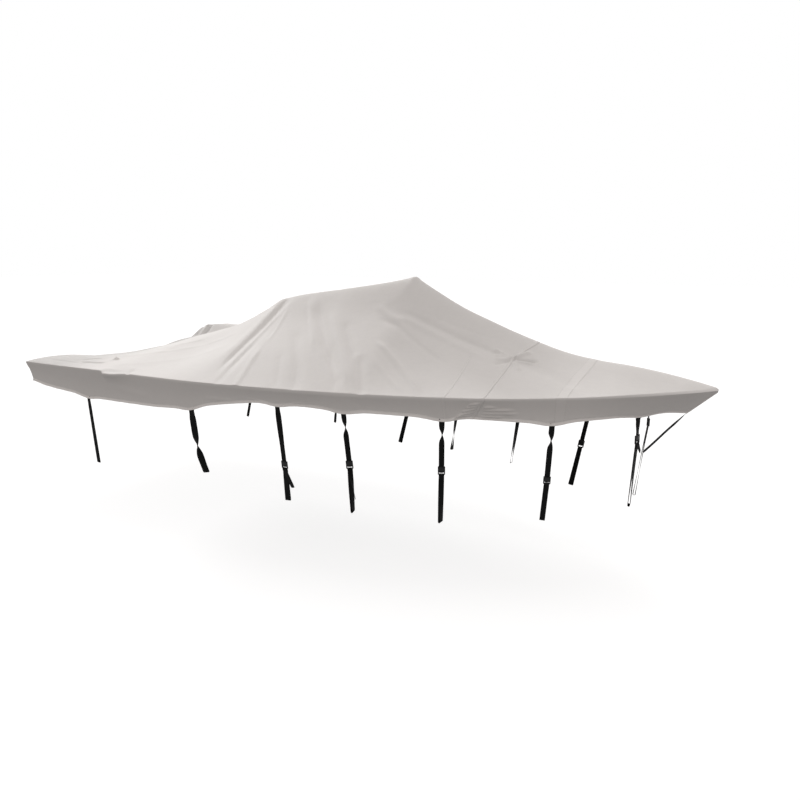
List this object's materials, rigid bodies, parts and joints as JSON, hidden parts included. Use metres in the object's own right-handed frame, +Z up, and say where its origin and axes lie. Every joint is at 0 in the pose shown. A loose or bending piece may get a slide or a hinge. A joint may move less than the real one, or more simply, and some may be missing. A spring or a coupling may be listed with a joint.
{
  "type": "boat cover",
  "caption": "Fitted cloth cover for an open boat, tented over a high point amidships, with webbing straps and buckles hanging from the hem.",
  "frame": {"origin": "underside of the cloth at the tent's peak, on the centre line, where the support under it ends", "axes": "+X towards the bow, +Y to port, +Z up"},
  "size_m": [5.397, 2.4022, 1.6589],
  "materials": {
    "cover_cloth": "plain woven, matt",
    "strap_webbing": "ribbed webbing, matt",
    "buckle_plastic": "moulded, satin"
  },
  "bodies": {
    "root": {"aft_panel": "cover_cloth", "bow_panel": "cover_cloth", "bow_strap": "strap_webbing", "buckle_3_port": "buckle_plastic", "buckle_3_starboard": "buckle_plastic", "buckle_4_port": "buckle_plastic", "buckle_4_starboard": "buckle_plastic", "buckle_5_port": "buckle_plastic", "buckle_5_starboard": "buckle_plastic", "buckle_6_port": "buckle_plastic", "buckle_6_starboard": "buckle_plastic", "buckle_7_port": "buckle_plastic", "buckle_7_starboard": "buckle_plastic", "loop_3_port": "strap_webbing", "loop_3_starboard": "strap_webbing", "loop_4_port": "strap_webbing", "loop_4_starboard": "strap_webbing", "loop_5_port": "strap_webbing", "loop_5_starboard": "strap_webbing", "loop_6_port": "strap_webbing", "loop_6_starboard": "strap_webbing", "loop_7_port": "strap_webbing", "loop_7_starboard": "strap_webbing", "middle_panel": "cover_cloth", "strap_1_port": "strap_webbing", "strap_1_starboard": "strap_webbing", "strap_2_port": "strap_webbing", "strap_2_starboard": "strap_webbing", "strap_3_port": "strap_webbing", "strap_3_starboard": "strap_webbing", "strap_4_port": "strap_webbing", "strap_4_starboard": "strap_webbing", "strap_5_port": "strap_webbing", "strap_5_starboard": "strap_webbing", "strap_6_port": "strap_webbing", "strap_6_starboard": "strap_webbing", "strap_7_port": "strap_webbing", "strap_7_starboard": "strap_webbing", "tail_3_starboard": "strap_webbing", "tail_4_starboard": "strap_webbing", "tail_7_starboard": "strap_webbing"}
  },
  "joints": []
}
